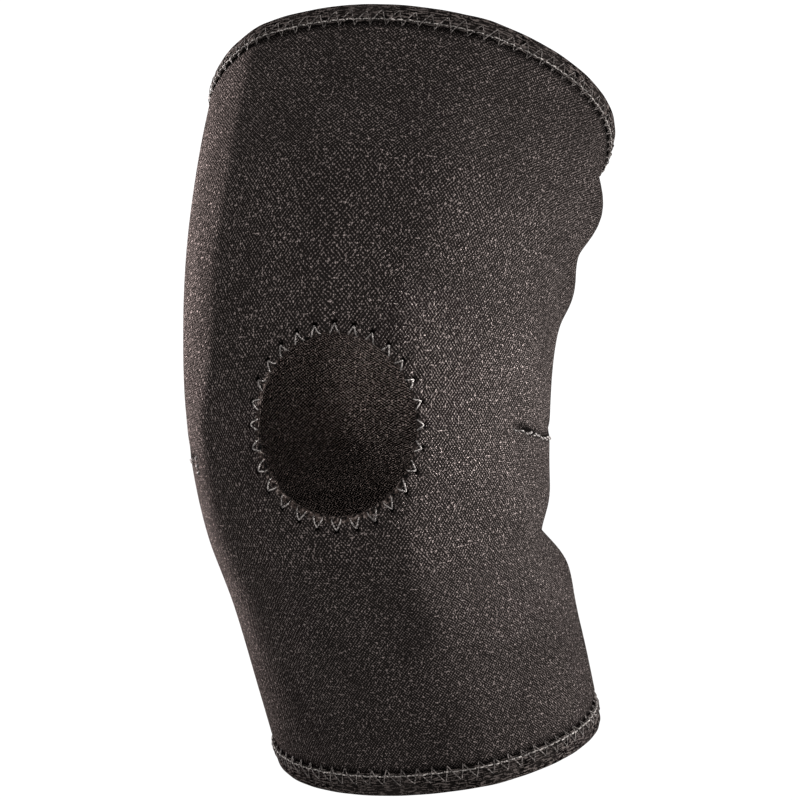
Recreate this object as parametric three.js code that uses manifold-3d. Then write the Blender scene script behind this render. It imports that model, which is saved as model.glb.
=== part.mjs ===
// Knee sleeve with an open kneecap: a bent neoprene tube, its kneecap hole, and a folded tape round each opening.
// Millimetres, +Z up along the leg, the front of the knee facing -Y.
// The origin is the middle of the leg at the height of the kneecap hole's centre.

import * as THREE from 'three';
import { mergeVertices } from 'three/addons/utils/BufferGeometryUtils.js';
import Module from 'manifold-3d';

const wasm = await Module();
wasm.setup();

const degree = Math.PI / 180;

// Driving dimensions of the leg form, side to side and front to back
const thighWidth = 149;
const kneeWidth = 128;
const calfWidth = 118;
const thighDepth = 150;
const kneeDepth = 128;
const calfDepth = 117;

// Lengths along the leg's middle line, from the kneecap to the edge of each opening
const thighLength = 123;
const calfLength = 118.5;

// The bend of the knee: each end leans back from the kneecap, through one round stretch of the middle line
const thighLean = 26 * degree;
const calfLean = 14 * degree;
const bendRadius = 150;

// How far the plane of each opening is rolled, right side up positive
const thighRimRoll = -1.8 * degree;
const calfRimRoll = 4.5 * degree;

// Neoprene with a knitted face on both sides
const wall = 3;

// Kneecap hole, an oval cut straight in from the front
const holeWidth = 57;
const holeHeight = 63;

// Edge tape, folded over both rims and sewn through; drop is how far each leg of the fold covers the wall
const tapeThickness = 1;
const thighTapeDrop = 7;
const calfTapeDrop = 8.5;
const thighTapeRibs = 2;
const calfTapeRibs = 3;
const ribHeight = 0.3;
const squeeze = 0.7;
const squeezeRun = 3;
const gap = 0.3;

// The dart sewn round the back of the knee: a groove on a plane that falls away from one side of the front.
// The rings of the tube lie along that plane at the knee, and level again at dartBlend above and below it.
const dartDepth = 1.6;
const dartHalfHeight = 3.2;
const dartFall = 10;
const dartHighSide = 45 * degree;
const dartRightEnd = 60 * degree;
const dartLeftEnd = -72 * degree;
const dartFade = 9 * degree;
const dartBlend = 60;

// Sections from the calf opening to the thigh opening.
// at: share of calfLength or thighLength. side: share of kneeWidth. width, front and back: shares of the width
// and of the half depths that run from calf to knee to thigh. square: 2 is round, more is squarer.
const sections = [
  { at: -1.00, side: 0.150, width: 1.000, front: 1.00, back: 1.00, square: 2.00 },
  { at: -0.75, side: 0.105, width: 0.995, front: 1.00, back: 1.03, square: 2.00 },
  { at: -0.50, side: 0.056, width: 0.980, front: 1.00, back: 1.05, square: 2.05 },
  { at: -0.25, side: 0.006, width: 0.993, front: 1.00, back: 1.01, square: 2.15 },
  { at: 0.00, side: -0.014, width: 1.010, front: 1.01, back: 0.97, square: 2.20 },
  { at: 0.25, side: -0.018, width: 1.000, front: 1.00, back: 0.98, square: 2.20 },
  { at: 0.50, side: -0.005, width: 1.005, front: 1.00, back: 1.00, square: 2.15 },
  { at: 0.75, side: 0.017, width: 1.010, front: 1.00, back: 1.01, square: 2.05 },
  { at: 1.00, side: 0.050, width: 1.010, front: 1.00, back: 1.00, square: 1.95 },
];

// Soft folds, each a smooth dent (or a swell, where depth is negative) round one spot of the tube.
// at: share of calfLength or thighLength. turn: degrees from the front towards +X. tall: share of kneeWidth.
// wide: degrees. depth: share of kneeWidth.
const folds = [
  { at: -0.365, turn: 108, tall: 0.072, wide: 34, depth: 0.046 },
  { at: -0.36, turn: 178, tall: 0.090, wide: 40, depth: 0.030 },
  { at: -0.30, turn: 236, tall: 0.080, wide: 24, depth: 0.012 },
  { at: -0.52, turn: 112, tall: 0.090, wide: 30, depth: -0.010 },
  { at: 0.10, turn: 176, tall: 0.110, wide: 38, depth: 0.022 },
  { at: 0.86, turn: 106, tall: 0.045, wide: 22, depth: 0.020 },
  { at: 0.74, turn: 104, tall: 0.068, wide: 26, depth: -0.034 },
  { at: 0.46, turn: 108, tall: 0.080, wide: 24, depth: -0.018 },
];

// How finely the cloth is faceted
const columns = 54;
const ringStep = 9;
const foldArcSteps = 6;
const holeSides = 48;

const sectionColumns = ['side', 'width', 'front', 'back', 'square'];
const sectionCurve = new THREE.CubicInterpolant(
  sections.map((row) => row.at),
  sections.flatMap((row) => sectionColumns.map((name) => row[name])),
  sectionColumns.length,
);

// The named size at a place on the leg, running from calf to knee to thigh
function along(at, calf, knee, thigh) {
  return at < 0 ? knee + (calf - knee) * -at : knee + (thigh - knee) * at;
}

function placeShare(s) {
  return s < 0 ? s / calfLength : s / thighLength;
}

function placeOf(share) {
  return share < 0 ? share * calfLength : share * thighLength;
}

// Where the middle line is at s, and the section's own axes there
function legSection(s) {
  const at = placeShare(s);
  const [side, width, front, back, square] = sectionCurve.evaluate(at);
  const lean = THREE.MathUtils.clamp(s / bendRadius, -calfLean, thighLean);
  const straight = s - lean * bendRadius;
  const roll = s < 0 ? calfRimRoll * -at : thighRimRoll * at;
  const up = new THREE.Vector3(0, Math.sin(lean), Math.cos(lean));
  const middle = new THREE.Vector3(
    side * kneeWidth,
    bendRadius * (1 - Math.cos(lean)) + straight * Math.sin(lean),
    bendRadius * Math.sin(lean) + straight * Math.cos(lean),
  );
  return {
    middle,
    right: new THREE.Vector3(Math.cos(roll), 0, 0).addScaledVector(up, Math.sin(roll)),
    rear: new THREE.Vector3(0, Math.cos(lean), -Math.sin(lean)),
    halfWidth: along(at, calfWidth, kneeWidth, thighWidth) * width / 2,
    halfFront: along(at, calfDepth, kneeDepth, thighDepth) * front / 2,
    halfBack: along(at, calfDepth, kneeDepth, thighDepth) * back / 2,
    square,
  };
}

// A section's outline: turn is the angle from the front towards +X
function outline(section, turn) {
  const power = 2 / section.square;
  const halfDepth = Math.cos(turn) > 0 ? section.halfFront : section.halfBack;
  const bow = (value) => Math.sign(value) * Math.abs(value) ** power;
  return new THREE.Vector2(section.halfWidth * bow(Math.sin(turn)), -halfDepth * bow(Math.cos(turn)));
}

function angleApart(a, b) {
  return Math.abs(Math.atan2(Math.sin(a - b), Math.cos(a - b)));
}

function hump(distance, reach) {
  return Math.exp(-((distance / reach) ** 2));
}

// How far the soft folds sink the cloth at one spot
function foldDepth(s, turn) {
  return folds.reduce((sum, fold) => {
    const tall = hump(s - placeOf(fold.at), fold.tall * kneeWidth);
    const wide = hump(angleApart(turn, fold.turn * degree), fold.wide * degree);
    return sum + fold.depth * kneeWidth * tall * wide;
  }, 0);
}

// The groove of the dart, for a ring that lies ringPlace away from it
function dartGroove(ringPlace, turn) {
  const behindRight = THREE.MathUtils.smoothstep(turn, dartRightEnd - dartFade, dartRightEnd + dartFade);
  const leftEnd = dartLeftEnd + 2 * Math.PI;
  const behindLeft = 1 - THREE.MathUtils.smoothstep(turn, leftEnd - dartFade, leftEnd + dartFade);
  return dartDepth * hump(ringPlace, dartHalfHeight) * behindRight * behindLeft;
}

// Rings near the knee follow the dart's sloping plane, and lie level again towards both openings
function ringDrop(ringPlace, turn) {
  const near = Math.max(0, 1 - (ringPlace / dartBlend) ** 2) ** 2;
  return -dartFall / 2 * (1 - Math.cos(turn - dartHighSide)) * near;
}

// A point of the tube, sunk by depth below the outer face of the cloth
function skin(ringPlace, turn, depth) {
  const s = ringPlace + ringDrop(ringPlace, turn);
  const section = legSection(s);
  const here = outline(section, turn);
  const step = 0.5 * degree;
  const across = outline(section, turn + step).sub(outline(section, turn - step)).normalize();
  const inward = new THREE.Vector2(-across.y, across.x);
  const sunk = depth + foldDepth(s, turn) + dartGroove(ringPlace, turn);
  here.addScaledVector(inward, sunk);
  return section.middle.clone().addScaledVector(section.right, here.x).addScaledVector(section.rear, here.y);
}

// A closed ring-shaped body from a loop of rings, each given as its place and a depth
function ringBody(loop) {
  const positions = [];
  for (const { place, depth } of loop) {
    for (let column = 0; column < columns; column += 1) {
      const point = skin(place, column / columns * 2 * Math.PI, depth);
      positions.push(point.x, point.y, point.z);
    }
  }
  const indices = [];
  for (let ring = 0; ring < loop.length; ring += 1) {
    const nextRing = (ring + 1) % loop.length;
    for (let column = 0; column < columns; column += 1) {
      const nextColumn = (column + 1) % columns;
      const a = ring * columns + column;
      const b = ring * columns + nextColumn;
      const c = nextRing * columns + nextColumn;
      const d = nextRing * columns + column;
      indices.push(a, b, c, a, c, d);
    }
  }
  const geometry = new THREE.BufferGeometry();
  geometry.setAttribute('position', new THREE.Float32BufferAttribute(positions, 3));
  geometry.setIndex(indices);
  return geometry;
}

function toSolid(geometry) {
  const bare = geometry.clone();
  bare.deleteAttribute('normal');
  bare.deleteAttribute('uv');
  const merged = mergeVertices(bare);
  return new wasm.Manifold(new wasm.Mesh({
    numProp: 3,
    vertProperties: new Float32Array(merged.attributes.position.array),
    triVerts: new Uint32Array(merged.index.array),
  }));
}

function toGeometry(solid) {
  const mesh = solid.getMesh();
  const geometry = new THREE.BufferGeometry();
  geometry.setAttribute('position', new THREE.BufferAttribute(mesh.vertProperties, 3));
  geometry.setIndex(new THREE.BufferAttribute(mesh.triVerts, 1));
  return geometry;
}

function namedMesh(name, geometry, colour, roughness) {
  geometry.computeVertexNormals();
  const material = new THREE.MeshStandardMaterial({ color: colour, roughness, metalness: 0 });
  const mesh = new THREE.Mesh(geometry, material);
  mesh.name = name;
  return mesh;
}

// Ring places of the tube: close together at the dart and where the tapes press on the wall
function bodyPlaces() {
  const calfEnd = -calfLength + tapeThickness + gap;
  const thighEnd = thighLength - tapeThickness - gap;
  const calfStep = -calfLength + calfTapeDrop + gap;
  const thighStep = thighLength - thighTapeDrop - gap;
  const dartEdge = 2 * dartHalfHeight;
  const stretch = (from, to) => {
    const count = Math.max(1, Math.round((to - from) / ringStep));
    return Array.from({ length: count }, (_, k) => from + (to - from) * k / count);
  };
  return [
    calfEnd,
    calfStep,
    ...stretch(calfStep + squeezeRun, -dartEdge),
    -dartEdge,
    -dartHalfHeight,
    0,
    dartHalfHeight,
    ...stretch(dartEdge, thighStep - squeezeRun),
    thighStep - squeezeRun,
    thighStep,
    thighEnd,
  ];
}

// Under each tape both faces of the neoprene are pressed in
function pressed(place) {
  const fromCalf = place + calfLength - calfTapeDrop - gap;
  const fromThigh = thighLength - thighTapeDrop - gap - place;
  return squeeze * (1 - THREE.MathUtils.smoothstep(Math.min(fromCalf, fromThigh), 0, squeezeRun));
}

function kneecapCutter() {
  const oval = new THREE.Shape();
  oval.absellipse(0, 0, holeWidth / 2, holeHeight / 2, 0, 2 * Math.PI);
  const cutter = new THREE.ExtrudeGeometry(oval, {
    depth: kneeDepth,
    bevelEnabled: false,
    curveSegments: holeSides / 2,
  });
  cutter.rotateX(90 * degree);
  return cutter;
}

function sleeveBody() {
  const places = bodyPlaces();
  const outside = places.map((place) => ({ place, depth: pressed(place) }));
  const inside = places.map((place) => ({ place, depth: wall - pressed(place) })).reverse();
  const tube = toSolid(ringBody([...outside, ...inside]));
  return toGeometry(tube.subtract(toSolid(kneecapCutter())));
}

// The folded tape: up the outside with its ribs, round the rolled edge, down the inside, and back along the slot
function tapeLoop(drop, ribs) {
  const slotOutside = squeeze - gap;
  const slotInside = wall - squeeze + gap;
  const outside = slotOutside - tapeThickness;
  const inside = slotInside + tapeThickness;
  const rollRadius = (inside - outside) / 2;
  const loop = [];
  const ribRun = drop - rollRadius;
  for (let k = 0; k <= 2 * ribs; k += 1) {
    const valley = k % 2 === 0 ? ribHeight : 0;
    loop.push({ in: drop - ribRun * k / (2 * ribs), depth: outside + valley });
  }
  for (let k = 1; k < foldArcSteps; k += 1) {
    const turn = k / foldArcSteps * Math.PI;
    loop.push({
      in: rollRadius * (1 - Math.sin(turn)),
      depth: outside + rollRadius * (1 - Math.cos(turn)),
    });
  }
  loop.push({ in: rollRadius, depth: inside });
  loop.push({ in: drop, depth: inside });
  loop.push({ in: drop, depth: slotInside });
  loop.push({ in: tapeThickness, depth: slotInside });
  loop.push({ in: tapeThickness, depth: slotOutside });
  loop.push({ in: drop, depth: slotOutside });
  return loop;
}

function thighBinding() {
  const loop = tapeLoop(thighTapeDrop, thighTapeRibs);
  return ringBody(loop.map((row) => ({ place: thighLength - row.in, depth: row.depth })));
}

function calfBinding() {
  const loop = tapeLoop(calfTapeDrop, calfTapeRibs).reverse();
  return ringBody(loop.map((row) => ({ place: -calfLength + row.in, depth: row.depth })));
}

const sleeve = new THREE.Group();
sleeve.add(namedMesh('sleeve_body', sleeveBody(), 0x37322f, 0.92));
sleeve.add(namedMesh('thigh_binding', thighBinding(), 0x2e2a28, 0.85));
sleeve.add(namedMesh('calf_binding', calfBinding(), 0x2e2a28, 0.85));

export default sleeve;
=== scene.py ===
import math
import random

import bmesh
import bpy
import numpy as np
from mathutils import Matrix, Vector


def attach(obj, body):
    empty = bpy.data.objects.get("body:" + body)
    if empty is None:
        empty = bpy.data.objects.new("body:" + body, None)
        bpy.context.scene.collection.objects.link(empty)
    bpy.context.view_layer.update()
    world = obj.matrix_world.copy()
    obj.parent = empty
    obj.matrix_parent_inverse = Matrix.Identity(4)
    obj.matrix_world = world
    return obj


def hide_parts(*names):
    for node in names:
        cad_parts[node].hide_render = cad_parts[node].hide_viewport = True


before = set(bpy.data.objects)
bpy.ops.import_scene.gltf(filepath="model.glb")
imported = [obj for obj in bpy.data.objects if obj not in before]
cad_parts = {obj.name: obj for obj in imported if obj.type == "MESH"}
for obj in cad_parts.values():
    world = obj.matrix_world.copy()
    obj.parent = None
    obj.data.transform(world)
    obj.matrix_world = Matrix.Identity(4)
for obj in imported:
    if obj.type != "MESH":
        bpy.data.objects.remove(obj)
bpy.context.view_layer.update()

MM = 0.001
DEGREE = math.pi / 180
WELD = 0.01
random.seed(7)

# Sizes of the leg form, as the solids have them but for a shallower dart
THIGH_WIDTH, KNEE_WIDTH, CALF_WIDTH = 149, 128, 118
THIGH_DEPTH, KNEE_DEPTH, CALF_DEPTH = 150, 128, 117
THIGH_LENGTH, CALF_LENGTH = 123, 118.5
THIGH_LEAN, CALF_LEAN = 26 * DEGREE, 14 * DEGREE
BEND_RADIUS = 150
THIGH_RIM_ROLL, CALF_RIM_ROLL = -1.8 * DEGREE, 4.5 * DEGREE
WALL = 3
HOLE_WIDTH, HOLE_HEIGHT = 57, 63
TAPE_THICKNESS = 1
THIGH_TAPE_DROP, CALF_TAPE_DROP = 7, 8.5
SQUEEZE, SQUEEZE_RUN, GAP = 0.7, 3, 0.3
DART_DEPTH, DART_HALF_HEIGHT, DART_FALL = 0.6, 2.0, 10
DART_HIGH_SIDE, DART_FADE = 45 * DEGREE, 9 * DEGREE
DART_RIGHT_END, DART_LEFT_END = 60 * DEGREE, -72 * DEGREE
DART_BLEND = 60

# at: share of the calf's or thigh's length. side: share of the knee's width. width, front and back: shares of
# the width and half depths that run from calf to knee to thigh. square: 2 is round.
SECTION_COLUMNS = ("at", "side", "width", "front", "back", "square")
SECTIONS = [
    (-1.00, 0.150, 1.000, 1.00, 1.00, 2.00),
    (-0.75, 0.105, 0.995, 1.00, 1.03, 2.00),
    (-0.50, 0.056, 0.980, 1.00, 1.05, 2.05),
    (-0.25, 0.006, 0.993, 1.00, 1.01, 2.15),
    (0.00, -0.014, 1.010, 1.01, 0.97, 2.20),
    (0.25, -0.018, 1.000, 1.00, 0.98, 2.20),
    (0.50, -0.005, 1.005, 1.00, 1.00, 2.15),
    (0.75, 0.017, 1.010, 1.00, 1.01, 2.05),
    (1.00, 0.050, 1.010, 1.00, 1.00, 1.95),
]
# A row holds at, turn, tall, wide and depth. at: as above. turn and wide: in degrees round the leg. tall and
# depth: shares of the knee's width, where a depth below 0 bulges.
FOLDS = [
    (-0.365, 108, 0.072, 34, 0.046),
    (-0.36, 178, 0.090, 40, 0.030),
    (-0.30, 236, 0.080, 24, 0.012),
    (-0.52, 112, 0.090, 30, -0.010),
    (0.10, 176, 0.110, 38, 0.022),
    (0.86, 106, 0.045, 22, 0.020),
    (0.74, 104, 0.068, 26, -0.034),
    (0.46, 108, 0.080, 24, -0.018),
]

# The cloth is laid out flat first: x round the leg, y up the leg, z into the cloth
FLAT_RADIUS = KNEE_WIDTH / 2 + 1.5
FLAT_GIRTH = 2 * math.pi * FLAT_RADIUS
CLOTH_COLUMNS, CLOTH_ROWS = 228, 134


def section_row(at, column):
    """One column of the section table, run smoothly through its rows as the solids' curve does."""
    places = np.array([row[0] for row in SECTIONS])
    values = np.array([row[SECTION_COLUMNS.index(column)] for row in SECTIONS])
    k = np.clip(np.searchsorted(places, at, side="right") - 1, 0, len(places) - 2)
    p = np.clip((at - places[k]) / (places[k + 1] - places[k]), 0, 1)
    last = len(places) - 2
    before, weight_before = np.where(k > 0, values[k - 1], values[1]), np.where(k > 0, 0.5, -0.5)
    beyond = np.where(k < last, values[np.minimum(k + 2, last + 1)], values[last])
    weight_beyond = np.where(k < last, 0.5, -0.5)
    pp, ppp = p**2, p**3
    share_before = -weight_before * ppp + 2 * weight_before * pp - weight_before * p
    share_here = (1 + weight_before) * ppp + (-1.5 - 2 * weight_before) * pp + (-0.5 + weight_before) * p + 1
    share_next = (-1 - weight_beyond) * ppp + (1.5 + weight_beyond) * pp + 0.5 * p
    share_beyond = weight_beyond * ppp - weight_beyond * pp
    return share_before * before + share_here * values[k] + share_next * values[k + 1] + share_beyond * beyond


def along(at, calf, knee, thigh):
    """A size that runs evenly from the calf's end through the knee to the thigh's end."""
    return np.where(at < 0, knee + (calf - knee) * -at, knee + (thigh - knee) * at)


def place_of(share):
    """Millimetres up the leg from the knee, for a share of the calf's or thigh's length."""
    return share * (CALF_LENGTH if share < 0 else THIGH_LENGTH)


def hump(distance, reach):
    return np.exp(-((distance / reach) ** 2))


def smoothstep(x, low, high):
    t = np.clip((x - low) / (high - low), 0, 1)
    return t * t * (3 - 2 * t)


def angle_apart(a, b):
    return np.abs(np.arctan2(np.sin(a - b), np.cos(a - b)))


def outline(at, turn):
    """The leg's section: x and y at a turn from the front."""
    power = 2 / section_row(at, "square")
    half_width = along(at, CALF_WIDTH, KNEE_WIDTH, THIGH_WIDTH) * section_row(at, "width") / 2
    half_depth = along(at, CALF_DEPTH, KNEE_DEPTH, THIGH_DEPTH) / 2
    half_depth = half_depth * np.where(np.cos(turn) > 0, section_row(at, "front"), section_row(at, "back"))
    sine, cosine = np.sin(turn), np.cos(turn)
    x = half_width * np.sign(sine) * np.abs(sine) ** power
    y = -half_depth * np.sign(cosine) * np.abs(cosine) ** power
    return x, y


def fold_depth(s, turn):
    """How deep the folds press the cloth in."""
    total = np.zeros_like(s)
    for at, fold_turn, tall, wide, depth in FOLDS:
        up_leg = hump(s - place_of(at), tall * KNEE_WIDTH)
        round_leg = hump(angle_apart(turn, fold_turn * DEGREE), wide * DEGREE)
        total = total + depth * KNEE_WIDTH * up_leg * round_leg
    return total


# Soft ridges where the worn cloth turns from the flat front to its sides, too shallow for the solids
RIDGE_REACH, RIDGE_ROUNDING = 10 * DEGREE, 2.5 * DEGREE
RIGHT_RIDGE_RISE, LEFT_RIDGE_RISE = 2.0, 1.6
RIGHT_RIDGE_TURN, LEFT_RIDGE_TURN = 20, -36


def ridge(apart):
    """A ridge's rise, 1 on its crest, at an angle away from it."""
    return np.exp(-(np.hypot(apart, RIDGE_ROUNDING) - RIDGE_ROUNDING) / RIDGE_REACH)


def ridge_height(place, turn):
    """Height of both ridges: the right one swings round above and below the knee, the left one below it."""
    right_turn = RIGHT_RIDGE_TURN + 12 * smoothstep(place, 38, 60) + 10 * smoothstep(-place, 30, 95)
    left_turn = LEFT_RIDGE_TURN - 12 * smoothstep(-place, -26, -2)
    right = ridge(angle_apart(turn, right_turn * DEGREE)) * (1 - 0.45 * smoothstep(np.abs(place), 35, 70))
    left = ridge(angle_apart(turn, left_turn * DEGREE)) * (1 - 0.8 * smoothstep(-place, 0, 60))
    return RIGHT_RIDGE_RISE * right + LEFT_RIDGE_RISE * left


def behind_dart_ends(turn):
    """1 round the back of the knee, where the dart runs, and 0 in front of its two ends."""
    turn = np.mod(turn, 2 * math.pi)
    left_end = DART_LEFT_END + 2 * math.pi
    return smoothstep(turn, DART_RIGHT_END - DART_FADE, DART_RIGHT_END + DART_FADE) * (
        1 - smoothstep(turn, left_end - DART_FADE, left_end + DART_FADE)
    )


def skin(place, turn, depth):
    """Points on the leg for a place up it, a turn from the front and a depth in the cloth."""
    place, turn, depth = np.broadcast_arrays(*(np.asarray(v, float) for v in (place, turn, depth)))
    near = np.maximum(0, 1 - (place / DART_BLEND) ** 2) ** 2
    s = place - DART_FALL / 2 * (1 - np.cos(turn - DART_HIGH_SIDE)) * near
    at = np.where(s < 0, s / CALF_LENGTH, s / THIGH_LENGTH)
    x, y = outline(at, turn)
    step = 0.5 * DEGREE
    (x1, y1), (x0, y0) = outline(at, turn + step), outline(at, turn - step)
    across = np.hypot(x1 - x0, y1 - y0)
    sunk = depth + fold_depth(s, turn) + DART_DEPTH * hump(place, DART_HALF_HEIGHT) * behind_dart_ends(turn)
    sunk = sunk - ridge_height(place, turn)
    x = x - (y1 - y0) / across * sunk
    y = y + (x1 - x0) / across * sunk
    lean = np.clip(s / BEND_RADIUS, -CALF_LEAN, THIGH_LEAN)
    straight = s - lean * BEND_RADIUS
    roll = np.where(s < 0, CALF_RIM_ROLL * -at, THIGH_RIM_ROLL * at)
    up_y, up_z = np.sin(lean), np.cos(lean)
    return np.stack(
        (
            section_row(at, "side") * KNEE_WIDTH + x * np.cos(roll),
            BEND_RADIUS * (1 - up_z) + straight * up_y + x * np.sin(roll) * up_y + y * up_z,
            BEND_RADIUS * up_y + straight * up_z + x * np.sin(roll) * up_z - y * up_y,
        ),
        axis=-1,
    )


def wrap(bm, relief=None):
    """Lays a flat piece round the leg: x becomes the turn, y the place and z the depth."""
    flat = np.array([v.co for v in bm.verts])
    x, y, z = flat.T
    if relief is not None:
        z = z + relief(x, y, z)
    for vert, point in zip(bm.verts, skin(y, x / FLAT_RADIUS, z)):
        vert.co = point


def flat_uv(bm):
    """Keeps each corner's place on the flat cloth, in metres, for the materials."""
    layer = bm.loops.layers.uv.new("flat")
    for face in bm.faces:
        for loop in face.loops:
            loop[layer].uv = loop.vert.co.x * MM, loop.vert.co.y * MM


def finished(name, bm, *materials):
    """Makes the mesh object of a piece, in metres, with smooth faces that point outwards."""
    bmesh.ops.remove_doubles(bm, verts=bm.verts, dist=WELD)
    bmesh.ops.scale(bm, vec=Vector((MM, MM, MM)), verts=bm.verts)
    bmesh.ops.recalc_face_normals(bm, faces=bm.faces)
    if bm.calc_volume(signed=True) < 0:
        bmesh.ops.reverse_faces(bm, faces=bm.faces)
    for face in bm.faces:
        face.smooth = True
    mesh = bpy.data.meshes.new(name)
    bm.to_mesh(mesh)
    bm.free()
    for material in materials:
        mesh.materials.append(material)
    piece = bpy.data.objects.new(name, mesh)
    bpy.context.scene.collection.objects.link(piece)
    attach(piece, "root")
    return piece


# Kneecap hole: an oval in the flat cloth that lands on the solids' oval once it is wrapped
LIP_STITCHES = 28
LIP_PITCH = 2 * math.pi / LIP_STITCHES
NEEDLE_OUT = 1.9
# Size and soft edge of the painted shade in each needle hole
NEEDLE_HOLE_RADIUS, NEEDLE_HOLE_BLUR = 0.6, 0.5
PATCH_HALF_WIDTH, PATCH_HALF_HEIGHT = 45, 48


def hole_edge(angles):
    """Flat x and y of the hole's edge, so that the wrapped edge is an oval seen from the front."""
    target_x = HOLE_WIDTH / 2 * np.cos(angles)
    target_z = HOLE_HEIGHT / 2 * np.sin(angles)
    turn, place = target_x / FLAT_RADIUS, target_z.copy()
    for _ in range(12):
        here = skin(place, turn, 0)
        slope = (skin(place, turn + 0.01, 0)[..., 0] - here[..., 0]) / 0.01
        turn = turn + (target_x - here[..., 0]) / slope
        place = place + (target_z - here[..., 2])
    return turn * FLAT_RADIUS, place


HOLE_TABLE = np.linspace(-math.pi, math.pi, 721)
HOLE_X, HOLE_Y = hole_edge(HOLE_TABLE)
HOLE_SLOPE_X, HOLE_SLOPE_Y = np.gradient(HOLE_X), np.gradient(HOLE_Y)


def from_hole(angle, out):
    """Flat x and y out from the hole's edge, at an angle that runs anticlockwise from its right side."""
    angle = (np.asarray(angle) + math.pi) % (2 * math.pi) - math.pi
    x, y = np.interp(angle, HOLE_TABLE, HOLE_X), np.interp(angle, HOLE_TABLE, HOLE_Y)
    across, up = np.interp(angle, HOLE_TABLE, HOLE_SLOPE_X), np.interp(angle, HOLE_TABLE, HOLE_SLOPE_Y)
    length = np.hypot(across, up)
    return x + up / length * out, y - across / length * out


def lip_breadth(angle):
    """How broad the bare cut edge shows: broad along the bottom and narrow round the top."""
    return 0.22 + 1.3 * smoothstep(-np.sin(angle + 0.1), 0.0, 0.8)


def lip_rings(angle):
    """Rings from the flat cloth over the rolled cut edge to the inner face: distance out and depth."""
    breadth = lip_breadth(angle)
    pull = (0.5 + 0.5 * np.cos(LIP_STITCHES * angle)) ** 5
    none = 0 * breadth
    return [
        (none + 8.0, none),
        (none + 6.0, none),
        (breadth + NEEDLE_OUT + 1.3, 0.02 + 0.15 * pull),
        (breadth + NEEDLE_OUT + 0.6, 0.02 + 0.6 * pull),
        (breadth + NEEDLE_OUT, 0.02 + 1.0 * pull),
        (breadth + NEEDLE_OUT - 0.5, 0.02 + 0.45 * pull),
        (breadth + 0.8, 0.0 + 0.25 * pull),
        (breadth + 0.3, 0.08 + 0.3 * pull),
        (breadth + 0.08, 0.45 + 0.2 * pull),
        (breadth * 0.85, 0.40 + 0.3 * pull),
        (breadth * 0.6, 0.5 + 0.3 * pull),
        (breadth * 0.32, 0.85 + 0.2 * pull),
        (breadth * 0.1, 1.4 + 0.1 * pull),
        (none, none + 2.1),
        (breadth * 0.1, none + 2.65),
        (breadth * 0.35, none + WALL - 0.1),
        (breadth * 0.35 + 0.6, none + WALL),
    ]


# The cloth's material slots, the last of the lip's rings in the outer knit, and the last one in bare foam
OUTER_SLOT, INNER_SLOT, FOAM_SLOT = 0, 1, 2
LAST_OUTER_RING, LAST_FOAM_RING = 8, 14


def pressed(place):
    """How far the tapes squeeze the cloth, on each of its faces."""
    from_calf = place + CALF_LENGTH - CALF_TAPE_DROP - GAP
    from_thigh = THIGH_LENGTH - THIGH_TAPE_DROP - GAP - place
    return SQUEEZE * (1 - smoothstep(np.minimum(from_calf, from_thigh), 0, SQUEEZE_RUN))


# The long crease down the calf's right side, with its turn and width in degrees
CREASE_TURN, CREASE_WIDTH, CREASE_DEPTH = 95, 2.2, 0.9

# The flat seam down the back: half the width of its raised band and of its zigzag
SEAM_HALF_WIDTH, SEAM_STITCH_HALF_WIDTH = 3.2, 2.6

# Where the dart's two ends lie on the flat cloth
DART_RIGHT = (65.5 * DEGREE * FLAT_RADIUS, -0.5)
DART_LEFT = (-59.5 * DEGREE * FLAT_RADIUS, -1.5)


def pucker(x, y, centre, sink, ripple):
    """A small sewn-in dimple, with creases beside it that slant down to the right."""
    dx, dy = x - centre[0], y - centre[1]
    near = np.hypot(dx, dy)
    creases = np.sin(2 * math.pi * (dx * 0.8 + dy) / 2.3)
    return sink * hump(near, 3.2) + ripple * creases * hump(np.hypot(dx - 2, dy - 2), 5.5)


def cloth_relief(x, y, z):
    """Depth added to the flat cloth, pressed in under the tapes, puckered at the dart's ends and creased."""
    outer = z < WALL / 2
    turn = x / FLAT_RADIUS / DEGREE
    small = pucker(x, y, DART_RIGHT, sink=0.6, ripple=0.14) + pucker(x, y, DART_LEFT, sink=0.6, ripple=0.08)
    from_crease = turn - CREASE_TURN - 8 * smoothstep(-y, 105, 60)
    crease = CREASE_DEPTH * hump(from_crease, CREASE_WIDTH) - 0.5 * hump(from_crease - 6, 4)
    small = small + crease * smoothstep(-y, 48, 62)
    from_seam = FLAT_GIRTH / 2 - np.abs(x)
    seam = 0.35 * hump(np.abs(from_seam) - SEAM_HALF_WIDTH, 0.8) - 0.3 * hump(from_seam, 2.4)
    return np.where(outer, 1, -1) * pressed(y) + np.where(outer, small + seam, small * 0.5)


def groove_shade(x, y, z):
    """Painted shade on the outer face: how dark to paint a spot beside the tapes, in the dart and in the
    needle holes, where shade falls.
    """
    from_thigh_tape = THIGH_LENGTH - THIGH_TAPE_DROP - y
    from_calf_tape = y + CALF_LENGTH - CALF_TAPE_DROP
    turn = np.mod(x / FLAT_RADIUS, 2 * math.pi)
    dart = hump(y - dart_line(turn) - 0.9, 1.5) * smoothstep(turn, 62 * DEGREE, 70 * DEGREE)
    dart = dart * (1 - smoothstep(turn, 2 * math.pi - 64 * DEGREE, 2 * math.pi - 58 * DEGREE))
    tapes = np.maximum(hump(from_thigh_tape - 0.4, 1.3), hump(from_calf_tape - 0.4, 1.3))
    shade = np.maximum(tapes, 0.95 * dart)
    for angle in LIP_PITCH * np.arange(LIP_STITCHES):
        hole_x, hole_y = from_hole(angle, lip_breadth(angle) + NEEDLE_OUT + 0.35)
        from_needle = np.hypot(x - hole_x, y - hole_y) - NEEDLE_HOLE_RADIUS
        shade = np.maximum(shade, 1 - smoothstep(from_needle, 0, NEEDLE_HOLE_BLUR))
    return shade * (z < WALL / 2)


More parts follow.
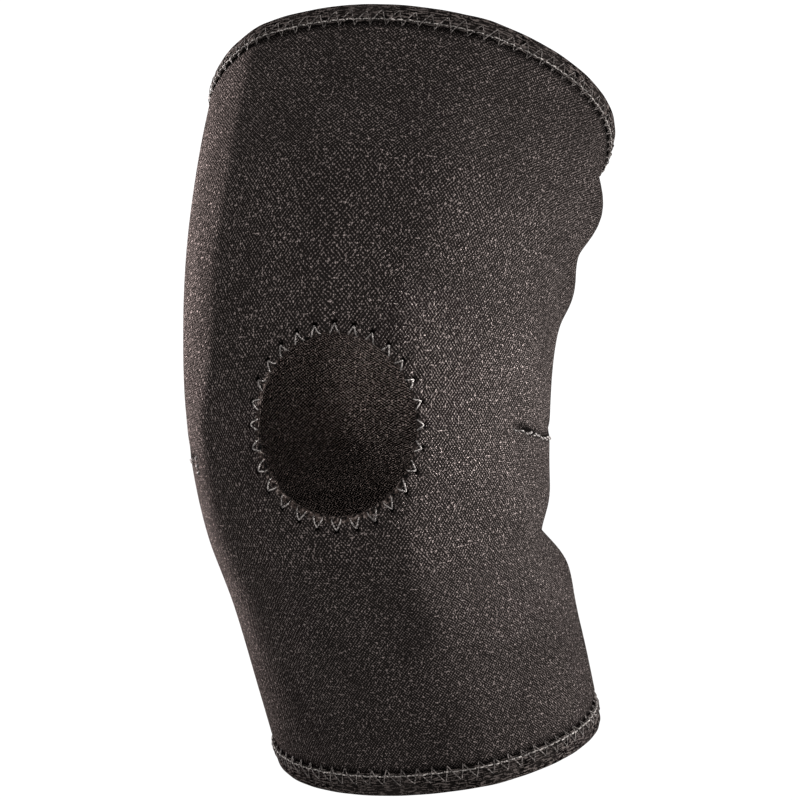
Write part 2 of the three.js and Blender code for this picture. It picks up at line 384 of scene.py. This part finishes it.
def cut_grid():
    """The flat sheet as a grid, with a rectangle left out round the kneecap."""
    bm = bmesh.new()
    bmesh.ops.create_grid(bm, x_segments=CLOTH_COLUMNS, y_segments=CLOTH_ROWS, size=0.5)
    calf_end = -CALF_LENGTH + TAPE_THICKNESS + GAP
    thigh_end = THIGH_LENGTH - TAPE_THICKNESS - GAP
    for vert in bm.verts:
        vert.co.x *= FLAT_GIRTH
        vert.co.y = calf_end + (vert.co.y + 0.5) * (thigh_end - calf_end)
    patch = []
    for face in bm.faces:
        middle = face.calc_center_median()
        if abs(middle.x) < PATCH_HALF_WIDTH and abs(middle.y) < PATCH_HALF_HEIGHT:
            patch.append(face)
    bmesh.ops.delete(bm, geom=patch, context="FACES")
    return bm


def patch_loop(bm):
    """The open edges of the rectangle left out round the kneecap."""
    reach_x, reach_y = PATCH_HALF_WIDTH + 3, PATCH_HALF_HEIGHT + 3
    return [
        edge
        for edge in bm.edges
        if edge.is_boundary and all(abs(v.co.x) < reach_x and abs(v.co.y) < reach_y for v in edge.verts)
    ]


def carried(order, loop):
    """The extruded vertices, each with the number of the vertex that it came from."""
    ends = {v for edge in loop for v in edge.verts}
    found = {}
    for old, k in order.items():
        for edge in old.link_edges:
            new = edge.other_vert(old)
            if new in ends:
                found[new] = k
    return found


def refine(bm, centre, reach, cuts):
    """Splits the flat faces round a small feature, so that its creases can be modelled."""
    edges = {
        edge
        for face in bm.faces
        if (face.calc_center_median().xy - Vector(centre)).length < reach
        for edge in face.edges
    }
    bmesh.ops.subdivide_edges(bm, edges=list(edges), cuts=cuts, use_grid_fill=True)


def patch_rings(corner_x, corner_y):
    """Rings in to the lip, over it and out along the inner face: x, y, depth and material slot of each."""
    angle = np.arctan2(corner_y / HOLE_HEIGHT, corner_x / HOLE_WIDTH)
    profile = lip_rings(angle)
    none = 0 * angle
    rings = []
    x, y = from_hole(angle, profile[0][0])
    for share in (0.25, 0.5, 0.75, 0.9):
        rings.append((corner_x + (x - corner_x) * share, corner_y + (y - corner_y) * share, none, OUTER_SLOT))
    for count, (out, depth) in enumerate(profile):
        x, y = from_hole(angle, out)
        slot = OUTER_SLOT
        if count > LAST_OUTER_RING:
            slot = FOAM_SLOT if count <= LAST_FOAM_RING else INNER_SLOT
        rings.append((x, y, depth, slot))
    for share in (0.2, 0.5, 0.8, 1.0):
        rings.append((x + (corner_x - x) * share, y + (corner_y - y) * share, WALL + none, INNER_SLOT))
    return rings


def carry_over_lip(bm):
    """Fills the rectangle round the kneecap from its open edges, ring by ring."""
    loop = patch_loop(bm)
    verts = list({v for edge in loop for v in edge.verts})
    order = {vert: k for k, vert in enumerate(verts)}
    # Each open vertex keeps its direction from the hole's centre
    for x, y, z, slot in patch_rings(*(np.array([getattr(v.co, axis) for v in verts]) for axis in "xy")):
        made = bmesh.ops.extrude_edge_only(bm, edges=loop)["geom"]
        for face in (g for g in made if isinstance(g, bmesh.types.BMFace)):
            face.material_index = slot
        loop = [g for g in made if isinstance(g, bmesh.types.BMEdge) and g.is_boundary]
        order = carried(order, loop)
        for vert, k in order.items():
            vert.co = x[k], y[k], z[k]


def add_inner_face(bm):
    """Joins on the inner face: the same cut sheet, a wall's thickness deeper."""
    inner = cut_grid()
    bmesh.ops.subdivide_edges(inner, edges=patch_loop(inner), cuts=1)
    for face in inner.faces:
        face.material_index = INNER_SLOT
    bmesh.ops.translate(inner, vec=Vector((0, 0, WALL)), verts=inner.verts)
    mesh = bpy.data.meshes.new("inner_face")
    inner.to_mesh(mesh)
    inner.free()
    bm.from_mesh(mesh)
    bpy.data.meshes.remove(mesh)
    bmesh.ops.remove_doubles(bm, verts=bm.verts, dist=WELD)


def close_rims(bm):
    """Closes the wall at the sheet's two ends, which the tapes cover."""
    for end in (-1, 1):
        rim = [
            edge
            for edge in bm.edges
            if edge.is_boundary and all(v.co.y * end > PATCH_HALF_HEIGHT + 20 for v in edge.verts)
        ]
        rim = [edge for edge in rim if abs(edge.verts[0].co.y - edge.verts[1].co.y) < WELD]
        bmesh.ops.bridge_loops(bm, edges=rim)


def sleeve_cloth(outer_knit, inner_knit_painted_light, foam):
    """The neoprene tube: both faces, the rolled lip of the kneecap hole and the wall's ends."""
    bm = cut_grid()
    refine(bm, DART_RIGHT, reach=11, cuts=2)
    refine(bm, DART_LEFT, reach=8, cuts=2)
    bmesh.ops.subdivide_edges(bm, edges=patch_loop(bm), cuts=1)
    carry_over_lip(bm)
    add_inner_face(bm)
    close_rims(bm)
    flat_uv(bm)
    # Painted shade on each vertex: near black beside the tapes, along the dart and in the needle holes
    shade = bm.verts.layers.float.new("shade")
    x, y, z = np.array([v.co for v in bm.verts]).T
    for vert, dark in zip(bm.verts, groove_shade(x, y, z)):
        vert[shade] = dark
    wrap(bm, cloth_relief)
    return finished("sleeve_cloth", bm, outer_knit, inner_knit_painted_light, foam)


# Edge tapes: a knitted band folded over the rim. A row of a face table holds a distance in from the folded
# edge and the depth of the tape's outer leg there, where less is prouder.
TAPE_SLOT_OUTSIDE, TAPE_SLOT_INSIDE = SQUEEZE - GAP, WALL - SQUEEZE + GAP
TAPE_OUTSIDE, TAPE_INSIDE = TAPE_SLOT_OUTSIDE - TAPE_THICKNESS, TAPE_SLOT_INSIDE + TAPE_THICKNESS
ROLL_RADIUS = (TAPE_INSIDE - TAPE_OUTSIDE) / 2
TAPE_COLUMNS, ROLL_STEPS = 340, 12
THIGH_TAPE_FACE = [
    (7.15, 0.20), (7.10, -0.05), (6.90, -0.22), (6.55, -0.22), (6.20, -0.30), (5.60, -0.55), (5.00, -0.50),
    (4.40, -0.64), (3.80, -0.56), (3.20, -0.66), (2.60, -0.58),
]
CALF_TAPE_FACE = [
    (8.65, 0.20), (8.60, -0.05), (8.40, -0.25), (8.00, -0.24), (7.60, -0.36), (7.00, -0.62), (6.50, -0.40),
    (6.00, -0.64), (5.40, -0.38), (4.80, -0.64), (4.20, -0.38), (3.60, -0.66), (3.00, -0.28), (2.70, -0.34),
    (2.40, -0.56),
]


def tape_depth(face, inset):
    """Depth of a tape's outer leg at a distance in from its folded edge."""
    return np.interp(inset, [row[0] for row in face[::-1]], [row[1] for row in face[::-1]])


def tape_section(face, drop):
    """A tape's section: over its outer leg, round the fold, and back along the slot for the cloth."""
    rows = list(face)
    for k in range(ROLL_STEPS + 1):
        turn = k / ROLL_STEPS * math.pi
        rows.append((ROLL_RADIUS * (1 - math.sin(turn)), TAPE_OUTSIDE + ROLL_RADIUS * (1 - math.cos(turn))))
    rows += [(drop * share, TAPE_INSIDE) for share in (0.5, 0.75, 1)]
    rows += [(drop, TAPE_SLOT_INSIDE), (TAPE_THICKNESS, TAPE_SLOT_INSIDE)]
    rows += [(TAPE_THICKNESS, TAPE_SLOT_OUTSIDE), (drop, TAPE_SLOT_OUTSIDE), rows[0]]
    return rows


def folded_tape(name, face, drop, to_place, knit):
    """A tape's section carried round the leg, swaying a little, with the knit laid along it."""
    rows = tape_section(face, drop)
    last = len(rows) - 1
    bm = bmesh.new()
    bmesh.ops.create_grid(bm, x_segments=TAPE_COLUMNS, y_segments=last, size=0.5)
    run = np.concatenate(([0], np.cumsum([math.dist(a, b) for a, b in zip(rows, rows[1:])])))
    uv = bm.loops.layers.uv.new("flat")
    for bm_face in bm.faces:
        for loop in bm_face.loops:
            row = round((loop.vert.co.y + 0.5) * last)
            loop[uv].uv = loop.vert.co.x * FLAT_GIRTH * MM, run[row] * MM
    for vert in bm.verts:
        inset, depth = rows[round((vert.co.y + 0.5) * last)]
        turn = vert.co.x * 2 * math.pi
        sway = 0.10 * math.sin(7 * turn + inset) + 0.07 * math.sin(19 * turn + 2 * inset)
        place = to_place(inset + sway * (inset > 0.3))
        vert.co = turn * FLAT_RADIUS, place, depth + 0.05 * math.sin(31 * turn + inset)
    wrap(bm)
    return finished(name, bm, knit)


def at_thigh(inset):
    return THIGH_LENGTH - inset


def at_calf(inset):
    return -CALF_LENGTH + inset


# Threads are thin tubes that follow the cloth


def strands(name, runs, radius, thread):
    """One piece from a list of runs, each a row of points on the leg in millimetres."""
    curve = bpy.data.curves.new(name, "CURVE")
    curve.dimensions = "3D"
    curve.bevel_depth = radius
    curve.bevel_resolution = 1
    curve.use_fill_caps = True
    for run in runs:
        spline = curve.splines.new("POLY")
        spline.points.add(len(run) - 1)
        spline.points.foreach_set("co", np.column_stack((run, np.ones(len(run)))).ravel())
    holder = bpy.data.objects.new(name + "_line", curve)
    bpy.context.scene.collection.objects.link(holder)
    bpy.context.view_layer.update()
    mesh = bpy.data.meshes.new_from_object(holder.evaluated_get(bpy.context.evaluated_depsgraph_get()))
    bpy.data.objects.remove(holder)
    bm = bmesh.new()
    bm.from_mesh(mesh)
    bpy.data.meshes.remove(mesh)
    return finished(name, bm, thread)


def on_leg(points):
    """A row of points on the leg, from rows of place, turn and depth."""
    points = np.asarray(points, float)
    return skin(points[:, 0], points[:, 1], points[:, 2])


def tape_zigzag(name, thread, face, to_place, stitches, tip, top, radius):
    """The zigzag that holds a tape: a long slanting leg from each tip, and a steep one to the next."""
    pitch = 2 * math.pi / stitches
    runs = []
    for k in range(stitches):
        shift = random.uniform(-0.05, 0.05) * pitch
        start, crest, after = k * pitch + shift, (k + 0.68) * pitch + shift, (k + 1) * pitch + shift * 0.5
        rise = random.uniform(-0.3, 0.3)
        for from_turn, to_turn, proud in ((start, crest, 0.34), (after, crest, 0.06)):
            leg = []
            for step in np.linspace(0, 1, 9):
                # Each leg arches over the tape and dives in at both of its ends
                inset = tip + (top + rise - tip) * step
                arch = proud * math.sin(math.pi * step) ** 0.5 - 0.3 * (1 - math.sin(math.pi * step)) ** 4
                surface = tape_depth(face, inset) if inset < face[0][0] else 0.45
                turn = from_turn + (to_turn - from_turn) * step
                leg.append((to_place(inset), turn, surface - radius - arch))
            runs.append(on_leg(leg))
    return strands(name, runs, radius, thread)


def line_stitches(name, thread, face, to_place, stitches, inset, radius):
    """The pale run of stitches along a tape's inner edge."""
    pitch = 2 * math.pi / stitches
    runs = []
    for k in range(stitches):
        start = (k + random.uniform(-0.06, 0.06)) * pitch
        sway = random.uniform(-0.12, 0.12)
        steps = np.linspace(0, 1, 6)
        surface = tape_depth(face, inset) - radius
        depth = surface + 0.45 - 0.6 * np.sin(math.pi * steps) ** 0.5
        places = to_place(inset + sway) + 0 * steps
        runs.append(on_leg(np.column_stack((places, start + 0.93 * pitch * steps, depth))))
    return strands(name, runs, radius, thread)


# A leg of an overedge stitch, from its needle hole to its foot. A row holds step, out and depth. step: share
# of the way to the foot's side. out: share of the needle's way out, or below 0 of the way back over the lip.
OVEREDGE_LEG = [
    (0.00, 1.00, 1.00),
    (0.02, 0.98, 0.35),
    (0.10, 0.86, 0.00),
    (0.35, 0.55, -0.15),
    (0.60, 0.25, 0.00),
    (0.80, 0.00, 0.25),
    (0.95, -0.25, 0.50),
    (1.00, -0.50, 0.85),
    (1.00, -0.75, 1.40),
]


def kneecap_overedge(thread):
    """The zigzag over the cut edge: each stitch is a V from a needle hole to two feet over the edge."""
    runs = []
    for k in range(LIP_STITCHES):
        shift = random.uniform(-0.03, 0.03) * LIP_PITCH
        for side in (-1, 1):
            line = []
            for step, out, depth in OVEREDGE_LEG:
                angle = k * LIP_PITCH + shift + side * 0.25 * LIP_PITCH * step
                breadth = float(lip_breadth(angle))
                x, y = from_hole(angle, breadth + NEEDLE_OUT * out if out > 0 else breadth * (1 + out))
                line.append((float(y), float(x) / FLAT_RADIUS, depth))
            runs.append(on_leg(line))
    return strands("kneecap_overedge_stitches", runs, 0.27, thread)


def dart_line(turn):
    """Place of the dart's stitches: in the groove at its right end, then along its lower side."""
    return -1.3 - 2.6 * smoothstep(turn, 63 * DEGREE, 88 * DEGREE)


def dart_stitches(thread):
    """Short slanting strokes along the dart, and three below its left end."""
    runs = []
    first, last = 64.5 * DEGREE, 2 * math.pi - 60 * DEGREE
    pitch = 1.9 / FLAT_RADIUS
    steps = np.linspace(-1, 1, 5)
    for k in range(int((last - first) / pitch)):
        middle = first + (k + random.uniform(-0.3, 0.3)) * pitch
        place = dart_line(middle) + random.uniform(-0.6, 0.5)
        slant = random.uniform(0.1, 0.5)
        depth = 0.6 - 0.9 * np.cos(steps * math.pi / 2)
        runs.append(on_leg(np.column_stack((place - slant * steps, middle + 0.28 * pitch * steps, depth))))
    for place in (-3.4, -5.6, -7.6):
        depth = 0.15 - 0.45 * np.cos(steps * math.pi / 2)
        runs.append(on_leg(np.column_stack((place + 0.5 * steps, (-55.5 + 1.2 * steps) * DEGREE, depth))))
    return strands("dart_stitches", runs, 0.33, thread)


def back_seam_stitches(thread):
    """The flat seam's zigzag down the back of the leg."""
    runs = []
    low = -CALF_LENGTH + CALF_TAPE_DROP + 1.5
    high = THIGH_LENGTH - THIGH_TAPE_DROP - 1.5
    pitch = 3.0
    count = int((high - low) / pitch)
    for k in range(count):
        start = low + k * (high - low) / count
        for near, far in ((0, 0.5), (1, 0.5)):
            points = []
            for step in np.linspace(0, 1, 7):
                across = SEAM_STITCH_HALF_WIDTH * (2 * step - 1) / FLAT_RADIUS
                depth = 0.1 - 0.55 * math.sin(math.pi * step) ** 0.5
                points.append((start + (near + (far - near) * step) * pitch, math.pi + across, depth))
            runs.append(on_leg(points))
    return strands("back_seam_stitches", runs, 0.22, thread)


# Materials


class Paint:
    """A node material under construction."""

    def __init__(self, name, roughness, specular):
        self.made = bpy.data.materials.new(name)
        self.made.use_nodes = True
        self.nodes, self.links = self.made.node_tree.nodes, self.made.node_tree.links
        self.shader = self.nodes["Principled BSDF"]
        self.shader.inputs["Roughness"].default_value = roughness
        self.shader.inputs["Specular IOR Level"].default_value = specular

    def feed(self, socket, value):
        """Links a node's output to the socket, or sets the socket to a number or colour."""
        if isinstance(value, bpy.types.NodeSocket):
            self.links.new(value, socket)
        else:
            socket.default_value = value

    def add(self, kind, settings=(), **inputs):
        """A new node. An input is named as its socket is, or i0, i1 and so on by its number."""
        node = self.nodes.new("ShaderNode" + kind)
        for key, value in dict(settings).items():
            setattr(node, key, value)
        for key, value in inputs.items():
            by_number = key[0] == "i" and key[1:].isdigit()
            self.feed(node.inputs[int(key[1:]) if by_number else key.replace("_", " ")], value)
        return node

    def maths(self, operation, *values):
        node = self.add("Math", {"operation": operation})
        for socket, value in zip(node.inputs, values):
            self.feed(socket, value)
        return node.outputs[0]

    def remap(self, value, low, high, to_low=0.0, to_high=1.0):
        node = self.add("MapRange", {"interpolation_type": "SMOOTHSTEP"}, Value=value)
        for key, number in (("From Min", low), ("From Max", high), ("To Min", to_low), ("To Max", to_high)):
            node.inputs[key].default_value = number
        return node.outputs[0]

    def blend(self, share, first, second):
        node = self.add("Mix", {"data_type": "RGBA"})
        for index, value in ((0, share), (6, first), (7, second)):
            self.feed(node.inputs[index], (*value, 1) if isinstance(value, tuple) else value)
        return node.outputs[2]

    def flat(self):
        return self.add("UVMap", {"uv_map": "flat"}).outputs[0]

    def place(self):
        return self.add("TexCoord").outputs["Object"]

    def stretched(self, vector, turn, length, width):
        """Coordinates turned and divided by a length and a width, both in metres."""
        node = self.add("Mapping", {"vector_type": "TEXTURE"}, Vector=vector)
        node.inputs["Rotation"].default_value = (0, 0, turn * DEGREE)
        node.inputs["Scale"].default_value = (length, width, 1)
        return node.outputs[0]

    def noise(self, vector, scale=1.0, detail=0.0, dimensions="2D"):
        node = self.add("TexNoise", {"noise_dimensions": dimensions}, Vector=vector)
        node.inputs["Scale"].default_value = scale
        node.inputs["Detail"].default_value = detail
        return node.outputs[0]

    def swing(self, vector, scale, reach, detail=0.0):
        """Noise that swings to both sides of zero."""
        return self.maths("MULTIPLY", self.maths("SUBTRACT", self.noise(vector, scale, detail), 0.5), reach)

    def colour(self, value):
        self.links.new(value, self.shader.inputs["Base Color"])

    def bump(self, height, distance, strength):
        node = self.add("Bump", Height=height)
        node.inputs["Distance"].default_value = distance
        node.inputs["Strength"].default_value = strength
        self.links.new(node.outputs[0], self.shader.inputs["Normal"])


def times(tone, factor):
    return tuple(channel * factor for channel in tone)


def knit(name, yarn, pit, pitch, depth):
    """Fine knit: yarns that cross on both diagonals, in uneven patches, with painted shade in the pits
    between them, painted highlights on their crests and painted glints.
    """
    paint = Paint(name, 1.0, 0.0)
    flat = paint.flat()
    drift = paint.add("TexNoise", {"noise_dimensions": "2D"}, Vector=flat)
    drift.inputs["Scale"].default_value = 0.5 / pitch
    drift.inputs["Detail"].default_value = 1
    drift = paint.add("VectorMath", {"operation": "SCALE"}, i0=drift.outputs["Color"], Scale=0.7)
    lattice = paint.add("VectorMath", i0=paint.stretched(flat, 45, pitch, pitch), i1=drift.outputs[0])
    across = paint.add("SeparateXYZ", Vector=lattice.outputs[0])
    up, down = (
        paint.maths("SINE", paint.maths("MULTIPLY", across.outputs[axis], 2 * math.pi)) for axis in (0, 1)
    )
    favoured = paint.remap(paint.noise(flat, 0.3 / pitch), 0.38, 0.62, 0.33, 0.67)
    yarns = paint.maths(
        "ADD",
        paint.maths("MULTIPLY", up, favoured),
        paint.maths("MULTIPLY", down, paint.maths("SUBTRACT", 1.0, favoured)),
    )
    yarns = paint.maths("ADD", yarns, paint.swing(flat, 1.7 / pitch, 1.2))
    yarns = paint.maths("ADD", yarns, paint.swing(flat, 0.62 / pitch, 0.9, 1))
    height = paint.remap(yarns, -0.55, 0.35)
    crest = paint.remap(yarns, 0.25, 0.8)
    # Painted shade: the pits between the yarns are painted darker
    tone = paint.blend(height, pit, times(yarn, 0.8))
    # Painted highlight: the yarns' crests are painted lighter
    tone = paint.blend(crest, tone, times(yarn, 2.5))
    # Painted glints: bright specks where fibres would catch the light
    painted_fibre_glints = paint.remap(paint.noise(paint.stretched(flat, 0, 0.0009, 0.0009)), 0.74, 0.80)
    tone = paint.blend(painted_fibre_glints, tone, times(yarn, 5))
    wear = paint.remap(paint.noise(flat, 45, 2), 0.38, 0.68, 0.0, 0.22)
    tone = paint.blend(wear, tone, pit)
    # Painted shade from the cloth's shade attribute: near black beside the tapes, in the dart and in the
    # needle holes
    shade = paint.add("Attribute", {"attribute_name": "shade"}).outputs["Fac"]
    tone = paint.blend(shade, tone, (0.0004, 0.0003, 0.0003))
    paint.colour(tone)
    paint.bump(paint.maths("ADD", height, crest), depth, 1.0)
    return paint.made


def tape_knit(name, yarn, pit):
    """The tape's ribbed knit: fine rows along it, broken into short loops, with painted shade in the pits and
    painted highlights on the crests.
    """
    paint = Paint(name, 1.0, 0.0)
    flat = paint.flat()
    rows = paint.noise(paint.stretched(flat, 0, 0.0028, 0.0005))
    loops = paint.noise(paint.stretched(flat, 0, 0.0007, 0.0006))
    height = paint.maths("ADD", paint.maths("MULTIPLY", rows, 0.65), paint.maths("MULTIPLY", loops, 0.35))
    crest = paint.remap(height, 0.55, 0.66)
    height = paint.remap(height, 0.42, 0.58)
    wear = paint.remap(paint.noise(flat, 60, 2), 0.35, 0.65, 0.0, 0.4)
    # Painted shade in the pits and painted highlights on the crests
    tone = paint.blend(crest, paint.blend(height, pit, yarn), times(yarn, 2))
    tone = paint.blend(wear, tone, times(yarn, 0.6))
    paint.colour(tone)
    paint.bump(height, 0.0005, 1.0)
    return paint.made


def foam_edge():
    """The cut and sewn-down neoprene edge: smooth rubber with a faint pressed grain."""
    paint = Paint("cut_foam_edge", 0.95, 0.03)
    place = paint.place()
    grain = paint.noise(place, 900, 2, "3D")
    patches = paint.noise(place, 160, 2, "3D")
    tone = paint.blend(paint.remap(patches, 0.35, 0.65), (0.006, 0.0045, 0.004), (0.026, 0.019, 0.0165))
    tone = paint.blend(paint.remap(grain, 0.38, 0.52), (0.001, 0.001, 0.001), tone)
    tone = paint.blend(paint.remap(grain, 0.56, 0.70), tone, (0.11, 0.09, 0.082))
    paint.colour(tone)
    paint.bump(grain, 0.0006, 1.0)
    return paint.made


def thread_finish(name, tone, specular=0.05):
    """Twisted filament thread, with painted shade between its twists."""
    paint = Paint(name, 0.8, specular)
    place = paint.place()
    twist = paint.noise(place, 1600, 0, "3D")
    wear = paint.noise(place, 220, 1, "3D")
    # Painted shade between the twists: the thread's tone darkened in specks
    colour = paint.blend(paint.remap(twist, 0.40, 0.60), times(tone, 0.15), tone)
    colour = paint.blend(paint.remap(wear, 0.4, 0.65, 0, 0.6), colour, times(tone, 0.3))
    paint.colour(colour)
    paint.bump(twist, 0.0002, 0.6)
    return paint.made


outer_knit = knit(
    "outer_knit",
    yarn=(0.0365, 0.0303, 0.0285),
    pit=(0.0070, 0.0058, 0.0054),
    pitch=0.00085,
    depth=0.0013,
)
# The inner face is the same fabric as the outer, with its yarn painted about two and a half times lighter:
# painted light where light reaches inside the tube
inner_knit_painted_light = knit(
    "inner_knit_painted_light",
    yarn=(0.096, 0.077, 0.070),
    pit=(0.002, 0.0015, 0.0013),
    pitch=0.00105,
    depth=0.0009,
)
tape_finish = tape_knit("edge_tape_knit", yarn=(0.033, 0.0275, 0.0255), pit=(0.0012, 0.001, 0.001))
# The pale, dark and knee threads' greys are partly the threads' own colour and partly painted sheen; the back
# seam's black thread has none
pale_thread = thread_finish("pale_thread", (0.34, 0.31, 0.29))
dark_thread = thread_finish("dark_thread", (0.15, 0.132, 0.124))
black_thread = thread_finish("black_thread", (0.05, 0.045, 0.042), specular=0.0)
knee_thread = thread_finish("knee_thread", (0.22, 0.20, 0.19))

cloth = sleeve_cloth(outer_knit, inner_knit_painted_light, foam_edge())
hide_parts("sleeve_body")
thigh_tape = folded_tape("thigh_tape", THIGH_TAPE_FACE, THIGH_TAPE_DROP, at_thigh, tape_finish)
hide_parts("thigh_binding")
calf_tape = folded_tape("calf_tape", CALF_TAPE_FACE, CALF_TAPE_DROP, at_calf, tape_finish)
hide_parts("calf_binding")
sewing = [
    tape_zigzag(
        "thigh_zigzag_stitches", dark_thread, THIGH_TAPE_FACE, at_thigh,
        stitches=80, tip=8.3, top=3.4, radius=0.18,
    ),
    line_stitches(
        "thigh_line_stitches", pale_thread, THIGH_TAPE_FACE, at_thigh,
        stitches=150, inset=6.5, radius=0.22,
    ),
    tape_zigzag(
        "calf_zigzag_stitches", dark_thread, CALF_TAPE_FACE, at_calf,
        stitches=68, tip=9.9, top=4.6, radius=0.20,
    ),
    line_stitches(
        "calf_line_stitches", pale_thread, CALF_TAPE_FACE, at_calf,
        stitches=128, inset=7.9, radius=0.26,
    ),
    kneecap_overedge(knee_thread),
    dart_stitches(knee_thread),
    back_seam_stitches(black_thread),
]

# Stage, in metres. A lamp's turn is counted from the camera, in degrees to the right.
CAMERA_AZIMUTH = 12 * DEGREE
CAMERA_DISTANCE, CAMERA_LENS = 1.1, 137.5
AIM = Vector((0.008, 0, 0.0085))
FLOOR_Z, FLOOR_SIZE = -0.42, 60


def studio():
    """Camera, white surroundings, five lamps and the floor."""
    scene = bpy.context.scene
    scene.view_settings.view_transform = "Standard"
    towards_camera = Vector((math.sin(CAMERA_AZIMUTH), -math.cos(CAMERA_AZIMUTH), 0))
    to_the_right = Vector((math.cos(CAMERA_AZIMUTH), math.sin(CAMERA_AZIMUTH), 0))
    camera = bpy.data.objects.new("camera", bpy.data.cameras.new("camera"))
    camera.data.lens = CAMERA_LENS
    camera.location = AIM + CAMERA_DISTANCE * towards_camera
    camera.rotation_euler = (-towards_camera).to_track_quat("-Z", "Y").to_euler()
    scene.collection.objects.link(camera)
    scene.camera = camera

    world = bpy.data.worlds.new("studio")
    world.use_nodes = True
    world.node_tree.nodes["Background"].inputs["Color"].default_value = (1, 1, 1, 1)
    world.node_tree.nodes["Background"].inputs["Strength"].default_value = 1.12
    scene.world = world

    def light(name, target, turn, height, distance, width, tall, spread, power, tint=(1, 1, 1)):
        lamp = bpy.data.lights.new(name, "AREA")
        lamp.shape = "RECTANGLE"
        lamp.size = width
        lamp.size_y = tall
        lamp.spread = spread * DEGREE
        lamp.energy = power
        lamp.color = tint
        holder = bpy.data.objects.new(name, lamp)
        away = math.cos(turn * DEGREE) * towards_camera + math.sin(turn * DEGREE) * to_the_right
        holder.location = AIM + distance * away + Vector((0, 0, height))
        holder.rotation_euler = (target - holder.location).to_track_quat("-Z", "Y").to_euler()
        scene.collection.objects.link(holder)

    low_side = AIM - Vector((0, 0, 0.01))
    knee_side = AIM + 0.05 * towards_camera + 0.025 * to_the_right
    high_side = AIM + Vector((0, 0, 0.018))
    light(
        "right_softbox", low_side, turn=90, height=-0.04, distance=0.9,
        width=0.2, tall=0.2, spread=21, power=0.78,
    )
    light(
        "knee_softbox", knee_side, turn=72, height=-0.03, distance=0.9,
        width=0.06, tall=0.06, spread=8, power=0.036,
    )
    light(
        "left_strip", high_side, turn=-138, height=0.08, distance=0.8,
        width=0.15, tall=0.2, spread=14, power=2.5, tint=(1, 0.94, 0.94),
    )
    light(
        "top_softbox", AIM, turn=15, height=0.9, distance=0.5,
        width=0.4, tall=0.4, spread=50, power=0.5,
    )
    light(
        "low_left_fill", AIM, turn=-14, height=-0.12, distance=1.0,
        width=0.1, tall=0.1, spread=20, power=0.07,
    )

    bm = bmesh.new()
    bmesh.ops.create_grid(bm, x_segments=1, y_segments=1, size=FLOOR_SIZE)
    bmesh.ops.translate(bm, vec=Vector((0, 0, FLOOR_Z)), verts=bm.verts)
    mesh = bpy.data.meshes.new("floor")
    bm.to_mesh(mesh)
    bm.free()
    pale = Paint("pale_floor", 0.9, 0.1)
    pale.shader.inputs["Base Color"].default_value = (0.95, 0.95, 0.95, 1)
    mesh.materials.append(pale.made)
    floor = bpy.data.objects.new("floor", mesh)
    scene.collection.objects.link(floor)


studio()
